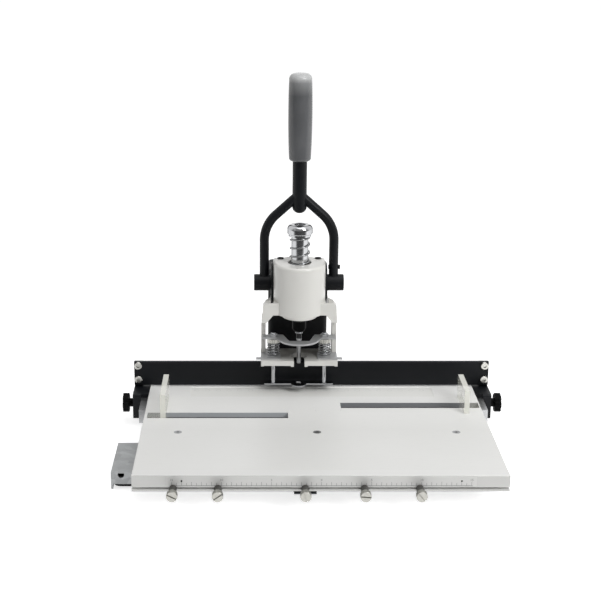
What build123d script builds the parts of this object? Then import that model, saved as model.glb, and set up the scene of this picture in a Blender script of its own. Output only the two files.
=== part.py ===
from build123d import *
import math
import os

# Lever paper drill. Millimetres, +Z up. X = 0 is the head's centre plane, Y = 0 the drill axis,
# Z = 0 the bench. The viewer stands on the -Y side. The table is drawn where the photo has it.

# Shares and small fits
HALF_share = 0.5
DEDENDUM_share = 1.25
FIT = 0.05
GAP = 0.2
EDGE = 0.5

# Table
TOP = 38.0
BOARD_T = 15.6
STAGE = 15.3
TAB_HX = 189.2
RAIL_Y0 = -239.0
RAIL_Z0 = 20.6
RAIL_D = 14.0
RAIL_Y1 = RAIL_Y0 + RAIL_D
BOARD_Y1 = 30.0
BOARD_R = 2.0
SLOT_X0 = 30.0
SLOT_MID = 0.85
SLOT_END = 2.6
SLOT_X1 = TAB_HX - SLOT_END
SLOT_W = 16.0
SLOT_DEEP = 8.0
SLOT_Y_LEFT = -79.0
SLOT_Y_RIGHT = -49.0
SLOT_BAR_T = 2.5
STRIP_HX = 140.5
STRIP_Y0 = -21.6
STRIP_DROP = 0.5
STRIP_T = 4.5
DOT_R = 0.8
DOT_DEEP = 1.0
DOT_Y = -65.0
DOT_XS = (-26.0, 2.0, 30.0)
T_SCREW_XS = (-149.0, 1.0, 151.0)
T_SCREW_Y = -127.0
T_SCREW_HEAD_R = 4.4
T_SCREW_R = 2.0
T_SCREW_CONE = 2.4
T_SCREW_DOWN = 17.6
T_SCREW_SLOT = 1.0

# Front rail, ruler and index stops
AXIS_Z = 24.2
MOUTH_H = 1.1
CHAN_TOP = 31.0
RAIL_LIP = 3.5
CHAN_Y0 = RAIL_Y0 + RAIL_LIP
CHAN_D = 6.5
CHAN_Y1 = CHAN_Y0 + CHAN_D
RULER_INSET = 34.2
RULER_HX = TAB_HX - RULER_INSET
RULER_MID = 0.8
RULER_Z0 = 26.6
RULER_Z1 = 37.0
RULER_T = 0.6
PIN_INSET = 15.0
PIN_X = RULER_HX - PIN_INSET
PIN_Z = 32.2
PIN_R = 0.9
PIN_PROUD = 0.3
PIN_DEEP = 2.4
STOP_shares = (-0.7817, -0.5431, -0.0819, 0.2315, 0.5238)
STOP_XS = tuple(TAB_HX * share for share in STOP_shares)
STOP_SLOTS = (27.0, -35.0, 75.0, 5.0, 50.0)
THUMB_R = 5.6
THUMB_T = 7.0
THUMB_REACH = 20.7
THUMB_Y0 = RAIL_Y0 - THUMB_REACH
THUMB_NECK_R = 3.9
THUMB_SHANK_R = 1.0
THUMB_SLOT_W = 1.3
THUMB_SLOT_D = 1.6
THUMB_FLUTES = 20
THUMB_FLUTE_R = 0.45
THUMB_EDGE = 0.3
NUT_HX = 5.0
CATCH_HX = 11.35
CATCH_REACH = 1.5
CATCH_Y0 = RAIL_Y0 - CATCH_REACH
CATCH_BACK = 11.0
CATCH_Y1 = RAIL_Y1 + CATCH_BACK
CATCH_CLEAR = 0.5
CATCH_T = 1.4
CATCH_TOP = AXIS_Z - THUMB_NECK_R - CATCH_CLEAR
CATCH_ARM_HX = 8.0
CATCH_ARM_T = 3.0
CATCH_ARM_Y1 = -150.0
CATCH_SCREW_YS = (-172.0, -158.0)

# Base
PLATE_Z0 = 3.0
PLATE_Z1 = 10.0
SPINE_HX = 55.0
SPINE_Y1 = 118.0
PLATE_R = 8.0
SOLE_HX = 50.0
SOLE_Y0 = -70.0
SOLE_Y1 = 112.0
PAD_Y0 = -178.0
PAD_Y1 = -128.0
HOUSE_HX = 200.0
HOUSE_Y0 = -191.0
HOUSE_Y1 = -113.0
HOUSE_TOP = 19.6
SHEET = 2.0
PLATE_HX = HOUSE_HX - SHEET - GAP
PLATE_Y0 = HOUSE_Y0 + SHEET + GAP
PLATE_Y1 = HOUSE_Y1 - SHEET - GAP
HOUSE_WALL_Z0 = 6.6
HOUSE_FLANGE = 9.0
HOUSE_END_Z0 = 1.0
NOTCH_R = 3.4
PAD_W = 60.0
PAD_INSET = 12.0
PAD_X1 = PLATE_HX - PAD_INSET
PAD_X0 = PAD_X1 - PAD_W
NOTCH_INSET = 10.5
NOTCH_X = HOUSE_HX - NOTCH_INSET
NOTCH_DROP = 2.6
NOTCH_Z = HOUSE_TOP - NOTCH_DROP
HOUSE_SCREW_X = 150.0
SMALL_HEAD_R = 3.5
SMALL_HEAD_T = 2.4
SMALL_R = 1.8
SMALL_DEEP = 4.0

# Runners under the table
RUN_HX = 165.0
RUN_Z0 = 13.6
RUN_RIDE = 0.4
RUN_FLANGE_Z = HOUSE_TOP + RUN_RIDE
RUN_LEG = 8.6
RUN_FLANGE = 18.0
RUN_CLEAR = 0.25

# Column and head
COL_HX = 35.0
COL_Y0 = 56.0
COL_Y1 = 106.0
COL_TOP = 168.0
COL_EDGE = 2.0
COL_R = 6.0
COL_POCKET_HX = 23.0
COL_POCKET_Z0 = 34.0
COL_POCKET_Z1 = 161.5
COL_POCKET_Y0 = 76.0
COL_BOLT_X = 24.0
COL_BOLT_YS = (64.0, 98.0)
COL_BOLT_R = 3.0
COL_BOLT_HEAD_R = 5.0
COL_BOLT_HEAD_T = 4.0
COL_BOLT_UP = 16.0
HEAD_R = 29.5
HEAD_Z0 = 131.4
HEAD_Z1 = 192.7
HEAD_ROUND = 3.0
BOSS_ROUND = 1.6
BOSS_R = 20.3
WING_LIP = 2.0
WING_FLOOR_Z = 138.5
COVER_ROOM = 0.6
HEAD_BACK = 21.5
PIVOT_Y = 26.5
PIVOT_Z = 161.3
HOUSING_R = 27.0
PAD_Z0 = 137.0
PAD_Z1 = 166.0
CHEEK_X0 = 38.4
CHEEK_X1 = 43.6
WING_X = 41.6
WING_TOP_X = 38.5
WING_X0 = 16.0
WING_TOP_Z = 149.2
WING_SIDE_Z = 146.5
WING_LOW_Z = 112.0
WING_BACK_X = 33.0
WING_BACK_Y = 6.0
WING_CUT_X = 46.0
WING_CUT_Y = -17.0
WING_CUT_Z = 126.0
LEG_FRONT_Y = 8.0
LEG_FRONT_Z = 118.0
LEG_BACK_Z = 112.0
WING_REAR_Y = 14.0
CHEEK_Y0 = -17.8
ARCH_Z = 134.9
ARCH_CUT_X = 8.3
ARCH_CUT_Z = 10.0
GUIDE_HX = 44.0
GUIDE_Z0 = 75.0
GUIDE_Z1 = 80.6
GUIDE_Y0 = -20.0
GUIDE_Y1 = 25.0
GUIDE_LIP = 1.2
GUIDE_LIP_W = 3.5
GUIDE_R = 1.2
GUIDE_SLOT_HX = 6.15
GUIDE_HOLE_R = 10.5
SEAT_Z = 180.5
SEAT_R = 13.5
CAVITY_R = 22.7
CAVITY_HX = 9.5
BUSH_R = 12.0
BUSH_Z1 = 138.0
COVER_R = 23.3
COVER_X0 = HEAD_R
COVER_T = 2.7
COVER_X1 = COVER_X0 + COVER_T
SPIGOT = 12.0
SPIGOT_R = 22.6
SMALL_SPIGOT_R = 12.0
SHAFT_R = 7.0
TOP_SCREW_X = 21.5
TOP_SCREW_Y = 16.5
TOP_SCREW_HEAD_R = 3.8
TOP_SCREW_HEAD_T = 0.9
TOP_SCREW_DEEP = 8.5
TOP_SCREW_SLOT = 1.0
HEAD_BOLT_X = 14.0
HEAD_BOLT_ZS = (143.5, 155.0)
HEAD_BOLT_R = 3.0
HEAD_BOLT_HEAD_R = 5.0
HEAD_BOLT_HEAD_T = 6.0
HEAD_BOLT_Y0 = 50.6
HEX_R = 2.5
HEX_DEEP = 2.6

# Quill, spring, chuck and drill
QUILL_R = 9.75
BORE_R = QUILL_R + FIT
QUILL_Z0 = 124.0
QUILL_Z1 = 232.0
CHIP_R = 2.6
MODULE = 2.0
TEETH = 20
RACK_LOW = -2
RACK_HIGH = 7
PRESSURE = 20.0
BACKLASH = 0.16
FLANK_STEPS = 6
BUTTON_R = 14.5
BUTTON_Z0 = 224.0
BUTTON_CLEAR = 0.4
BUTTON_STEP_Z = 226.4
BUTTON_Z1 = 236.8
BUTTON_ROUND = 5.0
BUTTON_LOW_ROUND = 1.2
BUTTON_DISH_R = 6.5
BUTTON_DISH = 2.0
SPRING_R = 10.9
SPRING_WIRE = 1.9
SPRING_TURNS = 4.5
CHUCK_R = 8.0
CHUCK_Z0 = 111.0
CHUCK_NOSE_Z = 114.0
CHUCK_NOSE_R = 6.0
CHUCK_SEAT_Z = 117.0
RING_R = 4.2
RING_T = 2.6
RING_Z0 = CHUCK_Z0 - RING_T
DRILL_SHANK_R = 3.0
DRILL_STEP_Z = 100.0
DRILL_R = 2.5
DRILL_TIP_Z = 71.0
DRILL_CORE_R = 1.6
DRILL_LIP = 1.2

# Presser foot
ROD_X = 29.5
ROD_R = 2.5
ROD_Z0 = 45.5
FOOT_HX = 40.0
FOOT_Y0 = -3.5
FOOT_Y1 = 6.0
FOOT_T = 1.8
FOOT_NOSE_R = 9.0
FOOT_NOSE_Y = -2.8
FOOT_HOLE_R = 3.3
BRIDGE_Z0 = 102.0
BRIDGE_Z1 = 104.0
BRIDGE_HX = 42.4
BRIDGE_BOW_X = 23.3
BRIDGE_BOW_Y0 = -10.5
BRIDGE_FRONT = -4.7
BRIDGE_REAR = 6.8
BRIDGE_STEP_X = 26.0
BRIDGE_BOW_Y = -29.3
BRIDGE_IN_X = 18.5
BRIDGE_FLAT_X = 11.5
BRIDGE_IN_BOW = -16.4
KNURL_R = 7.4
KNURL_T = 4.4
KNURL_Z0 = BRIDGE_Z0 - KNURL_T
KNURL_FLUTES = 18
KNURL_FLUTE_R = 0.5
HEX_NUT_R = 4.6
HEX_NUT_T = 3.2
ROD_PROUD = 1.8
ROD_Z1 = BRIDGE_Z1 + HEX_NUT_T + ROD_PROUD
CLIP_T = 1.5
CLIP_X0 = 21.3
CLIP_X1 = 49.5
CLIP_HALF = 7.4
CLIP_FRONT = 14.5
CLIP_TONGUE = 5.5
CLIP_HOLE_R = 2.9
FOOT_SPRING_R = 6.5
FOOT_SPRING_WIRE = 1.5
FOOT_SPRING_TURNS = 4.0

# Lever
HUB_R = 9.6
HUB_X0 = COVER_X1 + GAP
HUB_X1 = 51.9
LEG_R = 5.4
LEG_X = 40.0
BOW_Z = 212.0
BOW_TURN = 48.0
ROD_LEVER_R = 8.2
ROD_LEVER_Z0 = 244.0
ROD_END_FILLET = 7.0
GRIP_Z0 = 304.4
GRIP_LENGTH = 98.0
GRIP_Z1 = GRIP_Z0 + GRIP_LENGTH
GRIP_R0 = 12.4
GRIP_R1 = 13.6
GRIP_R2 = 12.9
GRIP_DOME = 6.8
GRIP_LOW_EDGE = 3.2
GRIP_HIGH_Z = GRIP_Z1 - GRIP_DOME
GRIP_MID_share = 0.478
GRIP_MID_Z = GRIP_Z0 + (GRIP_HIGH_Z - GRIP_Z0) * GRIP_MID_share
DOME_share = 0.9
ROD_SHORT = 24.0
ROD_LEVER_Z1 = GRIP_Z1 - ROD_SHORT
STOP_PIN_Z = 179.9
STOP_PIN_R = 2.5
STOP_PIN_X0 = 34.0
STOP_PIN_X1 = 47.5
SHAFT_END = HUB_X1
PINION_HX = 9.0

# Side stops
STOP_T = 6.0
STOP_H = 27.0
STOP_LIFT = 0.15
STOP_LEFT_INSET = 21.4
STOP_LEFT_X = STOP_LEFT_INSET - TAB_HX
STOP_RIGHT_INSET = 19.1
STOP_RIGHT_X = TAB_HX - STOP_RIGHT_INSET
STOP_LEFT_Y0 = -86.8
STOP_RIGHT_Y0 = -74.0
STOP_Y1 = -21.0
TONGUE_CLEAR = 0.4
TONGUE_X1 = SLOT_X1 - TONGUE_CLEAR

# Back gauge
BAR_LIFT = 1.5
BAR_Z0 = TOP + BAR_LIFT
BAR_Z1 = 68.5
BAR_Y0 = 12.0
STRIP_BACK = 3.0
STRIP_Y1 = BAR_Y0 - STRIP_BACK
BAR_T = 5.0
BAR_Y1 = BAR_Y0 + BAR_T
BAR_OVER = 18.6
BAR_HX = TAB_HX + BAR_OVER
GSTRIP_T = 8.4
GSTRIP_X1 = TAB_HX + GSTRIP_T
BLOCK_CLEAR = 0.3
BLOCK_X0 = GSTRIP_X1 + BLOCK_CLEAR
BLOCK_Y0 = -16.0
BLOCK_T = 7.0
BLOCK_DROP = 2.6
BLOCK_LIP = 0.4
BLOCK_Y1 = BAR_Y1 + BLOCK_T
BLOCK_Z0 = 8.0
BLOCK_R = 2.5
GSTRIP_Y0 = -53.0
GSTRIP_Y1 = 28.0
GSTRIP_Z0 = 18.0
GSTRIP_Z1 = 34.0
GSLOT_Y0 = -28.0
GSLOT_Y1 = 24.0
GSLOT_H = 2.8
GCHAN_WALL = 1.8
GCHAN_X0 = TAB_HX + GCHAN_WALL
GCHAN_W = 3.8
GCHAN_X1 = GCHAN_X0 + GCHAN_W
GCHAN_H = 5.2
GSCREW_YS = (-46.5, -36.5)
GSCREW_R = 2.0
GSCREW_HEAD_R = 3.4
GSCREW_HEAD_T = 2.0
GSCREW_SOCKET = 1.7
GSCREW_DEEP = 10.6
GSCREW_X0 = TAB_HX - GSCREW_DEEP
KNOB_Y = -9.0
KNOB_Z = 26.0
GSCREW_Z = 27.7
KNOB_R = 11.0
KNOB_LOBE_R = 3.2
KNOB_DIP = 1.7
KNOB_LOBES = 7
KNOB_NECK = 4.5
KNOB_X0 = BAR_HX + KNOB_NECK
KNOB_T = 7.0
KNOB_X1 = KNOB_X0 + KNOB_T
KNOB_NECK_R = 5.0
KNOB_NECK_X = BAR_HX + GAP
STUD_R = 2.5
STUD_X0 = GCHAN_X0 + GAP
CNUT_HALF = 5.0
CNUT_Y = 6.0
BSCREW_ZS = (47.2, 64.0)
BSCREW_HEAD_R = 4.4
BSCREW_HEAD_T = 3.4
BSCREW_R = 2.0
BSCREW_INSET = 5.0
BSCREW_X = BAR_HX - BSCREW_INSET
BSCREW_BITE = 5.0
BSCREW_Y1 = BAR_Y1 + BSCREW_BITE
BSCREW_HEX_R = 2.0
BSCREW_HEX_D = 1.8


def block(x0, x1, y0, y1, z0, z1):
    size = Box(abs(x1 - x0), y1 - y0, z1 - z0)
    return Pos((x0 + x1) * HALF_share, (y0 + y1) * HALF_share, (z0 + z1) * HALF_share) * size


def post(x, y, z0, z1, r):
    return Pos(x, y, (z0 + z1) * HALF_share) * Cylinder(r, z1 - z0)


def bar_x(y, z, x0, x1, r):
    return Pos((x0 + x1) * HALF_share, y, z) * Rot(0, 90, 0) * Cylinder(r, abs(x1 - x0))


def bar_y(x, z, y0, y1, r):
    return Pos(x, (y0 + y1) * HALF_share, z) * Rot(90, 0, 0) * Cylinder(r, y1 - y0)


def side_view(points, x0, x1):
    return Pos(x0, 0, 0) * extrude(Plane.YZ * make_face(Polyline(*points, close=True)), x1 - x0)


def front_view(points, y0, y1):
    return Pos(0, y1, 0) * extrude(Plane.XZ * make_face(Polyline(*points, close=True)), y1 - y0)


def turned(points):
    return revolve(Plane.XZ * make_face(Polyline(*points, close=True)), Axis.Z)


def soft(shape, axis, r):
    return fillet(shape.edges().filter_by(axis), r)


def save(shape, node):
    export_step(shape, "parts/" + node + ".step")


def biarc(p0, t0, p1, t1):
    chord = p1 - p0
    both = t0 + t1
    square = 2 * (1 - t0.dot(t1))
    reach = (-chord.dot(both) + math.sqrt(chord.dot(both) ** 2 + square * chord.dot(chord))) / square
    q0 = p0 + t0 * reach
    q1 = p1 - t1 * reach
    mid = (q0 + q1) * HALF_share
    first = TangentArc(p0, mid, tangent=t0)
    second = TangentArc(mid, p1, tangent=(q1 - q0).normalized())
    return [first, second]


def coil(x, y, z0, z1, r, wire, turns):
    low = z0 + wire * HALF_share
    rise = z1 - z0 - wire
    steps = int(turns * 4)
    marks = []
    for i in range(steps + 1):
        a = i * math.pi * HALF_share
        p = Vector(x + r * math.cos(a), y + r * math.sin(a), low + rise * i / steps)
        slope = rise / (turns * 2 * math.pi)
        t = Vector(-r * math.sin(a), r * math.cos(a), slope).normalized()
        marks.append((p, t))
    edges = []
    for i in range(steps):
        edges += biarc(marks[i][0], marks[i][1], marks[i + 1][0], marks[i + 1][1])
    path = Wire(edges)
    pts = [path.position_at(i / (steps * 10)) for i in range(steps * 10 + 1)]
    least = min((pts[i] - pts[j]).length for i in range(len(pts)) for j in range(i + 20, len(pts)))
    print("coil least gap to itself", round(least - wire, 3), "mm")
    tube = sweep(Plane(origin=marks[0][0], z_dir=marks[0][1]) * Circle(wire * HALF_share), path=path)
    return tube


def thumb(x, turn):
    head = bar_y(x, AXIS_Z, THUMB_Y0, THUMB_Y0 + THUMB_T, THUMB_R)
    head = chamfer(head.edges().filter_by(GeomType.CIRCLE), THUMB_EDGE)
    for i in range(THUMB_FLUTES):
        a = 2 * math.pi * i / THUMB_FLUTES
        fx = x + THUMB_R * math.cos(a)
        fz = AXIS_Z + THUMB_R * math.sin(a)
        head -= bar_y(fx, fz, THUMB_Y0 - GAP, THUMB_Y0 + THUMB_T + GAP, THUMB_FLUTE_R)
    groove = Box(THUMB_R * 4, THUMB_SLOT_D * 2, THUMB_SLOT_W)
    head -= Pos(x, THUMB_Y0, AXIS_Z) * Rot(0, turn, 0) * groove
    neck = bar_y(x, AXIS_Z, THUMB_Y0 + THUMB_T, RAIL_Y0 - FIT, THUMB_NECK_R)
    shank = bar_y(x, AXIS_Z, RAIL_Y0 - FIT, CHAN_Y1 - GAP - FIT, THUMB_SHANK_R)
    return head + neck + shank


os.makedirs("parts", exist_ok=True)

# Base plate, pads and housing
base = block(-PLATE_HX, PLATE_HX, PLATE_Y0, PLATE_Y1, PLATE_Z0, PLATE_Z1)
base = soft(base, Axis.Z, PLATE_R)
spine = block(-SPINE_HX, SPINE_HX, PLATE_Y0 + PLATE_R, SPINE_Y1, PLATE_Z0, PLATE_Z1)
base = base + soft(spine, Axis.Z, PLATE_R)
house = block(-HOUSE_HX, HOUSE_HX, HOUSE_Y0, HOUSE_Y1, HOUSE_TOP - SHEET, HOUSE_TOP)
for wall, wall_z in ((HOUSE_Y0, HOUSE_WALL_Z0), (HOUSE_Y1 - SHEET, PLATE_Z1)):
    house += block(-HOUSE_HX + SHEET, HOUSE_HX - SHEET, wall, wall + SHEET, wall_z, HOUSE_TOP - SHEET)
f0 = HOUSE_Y0 + SHEET
f1 = HOUSE_Y1 - SHEET
house += block(-PLATE_HX, PLATE_HX, f0, f0 + HOUSE_FLANGE, PLATE_Z1, PLATE_Z1 + SHEET)
house += block(-PLATE_HX, PLATE_HX, f1 - HOUSE_FLANGE, f1, PLATE_Z1, PLATE_Z1 + SHEET)
screws = None
for side in (-1, 1):
    end_in = side * (HOUSE_HX - SHEET)
    house += block(end_in, side * HOUSE_HX, HOUSE_Y0, HOUSE_Y1, HOUSE_END_Z0, HOUSE_TOP - SHEET)
    house -= bar_y(side * NOTCH_X, NOTCH_Z, HOUSE_Y0 - GAP, HOUSE_Y0 + SHEET + GAP, NOTCH_R)
    for fy in (f0 + HOUSE_FLANGE * HALF_share, f1 - HOUSE_FLANGE * HALF_share):
        sx = side * HOUSE_SCREW_X
        hole = post(sx, fy, PLATE_Z1 - SMALL_DEEP, PLATE_Z1 + SHEET, SMALL_R)
        house -= hole
        base -= hole
        screw = hole + post(sx, fy, PLATE_Z1 + SHEET, PLATE_Z1 + SHEET + SMALL_HEAD_T, SMALL_HEAD_R)
        screws = screw if screws is None else screws + screw
catch_cut = CATCH_ARM_HX + GAP
arm_top = PLATE_Z1 + CATCH_ARM_T
flange_end = f0 + HOUSE_FLANGE + GAP
house -= block(-catch_cut, catch_cut, HOUSE_Y0 - GAP, flange_end, PLATE_Z1 - GAP, arm_top + GAP)
catch = block(-CATCH_ARM_HX, CATCH_ARM_HX, CATCH_Y1 - CATCH_ARM_T, CATCH_ARM_Y1, PLATE_Z1, arm_top)
catch += block(-CATCH_HX, CATCH_HX, CATCH_Y1 - CATCH_ARM_T, CATCH_Y1, PLATE_Z1, CATCH_TOP)
catch += block(-CATCH_HX, CATCH_HX, CATCH_Y0, CATCH_Y1, CATCH_TOP - CATCH_T, CATCH_TOP)
catch_screws = None
for cy in CATCH_SCREW_YS:
    hole = post(0, cy, PLATE_Z1 - SMALL_DEEP, arm_top, SMALL_R)
    catch -= hole
    base -= hole
    screw = hole + post(0, cy, arm_top, arm_top + SMALL_HEAD_T, SMALL_HEAD_R)
    catch_screws = screw if catch_screws is None else catch_screws + screw
sole = soft(block(-SOLE_HX, SOLE_HX, SOLE_Y0, SOLE_Y1, 0, PLATE_Z0), Axis.Z, PLATE_R)
pads = None
for side in (-1, 1):
    pad = soft(block(side * PAD_X0, side * PAD_X1, PAD_Y0, PAD_Y1, 0, PLATE_Z0), Axis.Z, PLATE_R)
    pads = pad if pads is None else pads + pad

# Column
column = soft(block(-COL_HX, COL_HX, COL_Y0, COL_Y1, PLATE_Z1, COL_TOP), Axis.Z, COL_R)
column = chamfer(column.edges().group_by(Axis.Z)[-1], COL_EDGE)
pocket = block(-COL_POCKET_HX, COL_POCKET_HX, COL_POCKET_Y0, COL_Y1 + GAP, COL_POCKET_Z0, COL_POCKET_Z1)
column -= pocket
column_bolts = None
for bx in (-COL_BOLT_X, COL_BOLT_X):
    for by in COL_BOLT_YS:
        shank = post(bx, by, PLATE_Z0 + COL_BOLT_HEAD_T, PLATE_Z1 + COL_BOLT_UP, COL_BOLT_R)
        head = post(bx, by, PLATE_Z0, PLATE_Z0 + COL_BOLT_HEAD_T, COL_BOLT_HEAD_R)
        base -= shank
        base -= head
        column -= shank
        sole -= post(bx, by, 0, PLATE_Z0, COL_BOLT_HEAD_R)
        bolt = shank + head - post(bx, by, PLATE_Z0, PLATE_Z0 + HEX_DEEP, HEX_R)
        column_bolts = bolt if column_bolts is None else column_bolts + bolt

# Head casting
body = post(0, 0, ARCH_Z, HEAD_Z1, HEAD_R) + block(-HEAD_R, HEAD_R, 0, HEAD_BACK, ARCH_Z, HEAD_Z1)
body = fillet(body.edges().group_by(Axis.Z)[-1], HEAD_ROUND)
boss = post(0, BOSS_R + GAP - HEAD_R, HEAD_Z0, ARCH_Z, BOSS_R)
body += fillet(boss.edges().group_by(Axis.Z)[0], BOSS_ROUND)
head = body + bar_x(PIVOT_Y, PIVOT_Z, -HEAD_R, HEAD_R, HOUSING_R)
head += block(-HEAD_R, HEAD_R, HEAD_BACK - GAP - HEAD_ROUND, COL_Y0, PAD_Z0, PAD_Z1)
leg_side = side_view([
    (LEG_FRONT_Y, GUIDE_Z1 - GAP),
    (LEG_FRONT_Y, LEG_FRONT_Z),
    (CHEEK_Y0, WING_CUT_Z),
    (CHEEK_Y0, WING_TOP_Z),
    (WING_REAR_Y, WING_TOP_Z),
    (WING_REAR_Y, ARCH_Z),
    (GUIDE_Y1, LEG_BACK_Z),
    (GUIDE_Y1, GUIDE_Z1 - GAP),
], -CHEEK_X1, CHEEK_X1)
for side in (-1, 1):
    wing = [
        (side * (HEAD_R - SHEET), ARCH_Z),
        (side * (HEAD_R - SHEET), WING_TOP_Z),
        (side * WING_TOP_X, WING_TOP_Z),
        (side * WING_X, WING_SIDE_Z),
        (side * CHEEK_X1, WING_LOW_Z),
        (side * CHEEK_X1, GUIDE_Z1 - GAP),
        (side * CHEEK_X0, GUIDE_Z1 - GAP),
        (side * CHEEK_X0, ARCH_Z - ARCH_CUT_Z),
        (side * (CHEEK_X0 - ARCH_CUT_X), ARCH_Z),
    ]
    cheek = front_view(wing, CHEEK_Y0, GUIDE_Y1) & leg_side
    taper = [
        (side * WING_BACK_X, WING_BACK_Y),
        (side * WING_CUT_X, WING_CUT_Y),
        (side * WING_CUT_X, GUIDE_Y1),
        (side * WING_BACK_X, GUIDE_Y1),
    ]
    taper = extrude(make_face(Polyline(*taper, close=True)), WING_TOP_Z)
    above = block(-WING_CUT_X, WING_CUT_X, CHEEK_Y0, GUIDE_Y1, WING_CUT_Z, WING_TOP_Z + GAP)
    cheek -= taper & above
    room = side * (COVER_X1 + COVER_ROOM)
    cheek -= block(side * COVER_X0, room, CHEEK_Y0 + WING_LIP, GUIDE_Y1, WING_FLOOR_Z, WING_TOP_Z + GAP)
    head += cheek
    inner = [
        (side * (HEAD_R - SHEET), 0),
        (side * (HEAD_R - SHEET), CHEEK_Y0),
        (side * WING_X0, CHEEK_Y0),
        (side * WING_X0, 0),
    ]
    inner = Pos(0, 0, ARCH_Z) * extrude(make_face(Polyline(*inner, close=True)), WING_TOP_Z - ARCH_Z)
    head += inner
guide = soft(block(-GUIDE_HX, GUIDE_HX, GUIDE_Y0, GUIDE_Y1, GUIDE_Z0, GUIDE_Z1), Axis.Z, GUIDE_R)
lip_w = GUIDE_LIP_W
for side in (-1, 1):
    gx = side * (GUIDE_HX - lip_w)
    guide += block(gx, side * GUIDE_HX, GUIDE_Y0 + GUIDE_R, GUIDE_Y1, GUIDE_Z0 - GUIDE_LIP, GUIDE_Z0)
    gx = side * GUIDE_SLOT_HX
    guide += block(gx, gx + side * lip_w, GUIDE_Y0, GUIDE_HOLE_R, GUIDE_Z0 - GUIDE_LIP, GUIDE_Z0)
    guide -= post(side * ROD_X, 0, GUIDE_Z0 - GAP, GUIDE_Z1 + GAP, ROD_R + FIT)
low = GUIDE_Z0 - GUIDE_LIP - GAP
guide -= block(-GUIDE_SLOT_HX, GUIDE_SLOT_HX, GUIDE_Y0 - GAP, 0, low, GUIDE_Z1 + GAP)
guide -= post(0, 0, low, GUIDE_Z1 + GAP, GUIDE_HOLE_R)
head += guide
head -= post(0, 0, HEAD_Z0 - GAP, SEAT_Z + GAP, BORE_R)
head -= post(0, 0, HEAD_Z0 - GAP, BUSH_Z1, BUSH_R)
head -= post(0, 0, SEAT_Z, HEAD_Z1 + GAP, SEAT_R)
head -= bar_x(PIVOT_Y, PIVOT_Z, -CAVITY_HX, HEAD_R + GAP, CAVITY_R)
head -= bar_x(PIVOT_Y, PIVOT_Z, -HEAD_R - GAP, -HEAD_R + SPIGOT, SMALL_SPIGOT_R)
head -= bar_x(PIVOT_Y, PIVOT_Z, -HEAD_R - GAP, 0, SHAFT_R + GAP)
for side in (-1, 1):
    head -= bar_x(PIVOT_Y, PIVOT_Z, side * HEAD_R, side * (HUB_X0 + GAP), COVER_R + GAP)
bush = post(0, 0, HEAD_Z0, BUSH_Z1, BUSH_R) - post(0, 0, HEAD_Z0, BUSH_Z1, BORE_R)
top_screws = None
for side in (-1, 1):
    tx = side * TOP_SCREW_X
    shank = post(tx, TOP_SCREW_Y, HEAD_Z1 - TOP_SCREW_DEEP, HEAD_Z1, SMALL_R)
    knob = post(tx, TOP_SCREW_Y, HEAD_Z1, HEAD_Z1 + TOP_SCREW_HEAD_T, TOP_SCREW_HEAD_R)
    cut = Box(TOP_SCREW_HEAD_R * 3, TOP_SCREW_SLOT, TOP_SCREW_HEAD_T)
    knob -= Pos(tx, TOP_SCREW_Y, HEAD_Z1 + TOP_SCREW_HEAD_T) * Rot(0, 0, side * 30) * cut
    head -= shank
    screw = shank + knob
    top_screws = screw if top_screws is None else top_screws + screw
head_bolts = None
for bx in (-HEAD_BOLT_X, HEAD_BOLT_X):
    for bz in HEAD_BOLT_ZS:
        shank = bar_y(bx, bz, HEAD_BOLT_Y0, COL_POCKET_Y0, HEAD_BOLT_R)
        cap = bar_y(bx, bz, COL_POCKET_Y0, COL_POCKET_Y0 + HEAD_BOLT_HEAD_T, HEAD_BOLT_HEAD_R)
        far = COL_POCKET_Y0 + HEAD_BOLT_HEAD_T
        cap -= bar_y(bx, bz, far - HEX_DEEP, far, HEX_R)
        head -= shank
        column -= shank
        bolt = shank + cap
        head_bolts = bolt if head_bolts is None else head_bolts + bolt
covers = {}
for side, name in ((-1, "left"), (1, "right")):
    deep = SMALL_SPIGOT_R if side < 0 else SPIGOT_R
    cover = bar_x(PIVOT_Y, PIVOT_Z, side * COVER_X0, side * COVER_X1, COVER_R)
    cover += bar_x(PIVOT_Y, PIVOT_Z, side * (HEAD_R - SPIGOT), side * COVER_X0, deep)
    cover -= bar_x(PIVOT_Y, PIVOT_Z, side * (HEAD_R - SPIGOT - GAP), side * (COVER_X1 + GAP), SHAFT_R + FIT)
    covers[name] = cover
clips = {}
for side, name in ((-1, "left"), (1, "right")):
    clip = block(side * CLIP_X0, side * CLIP_X1, -CLIP_FRONT, CLIP_HALF, GUIDE_Z1, GUIDE_Z1 + CLIP_T)
    clip -= post(side * ROD_X, 0, GUIDE_Z1, GUIDE_Z1 + CLIP_T, CLIP_HOLE_R)
    tongue = CLIP_TONGUE - CLIP_FRONT
    clip -= block(side * GUIDE_HX, side * CLIP_X1, tongue, CLIP_HALF, GUIDE_Z1, GUIDE_Z1 + CLIP_T)
    clips[name] = clip

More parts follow.
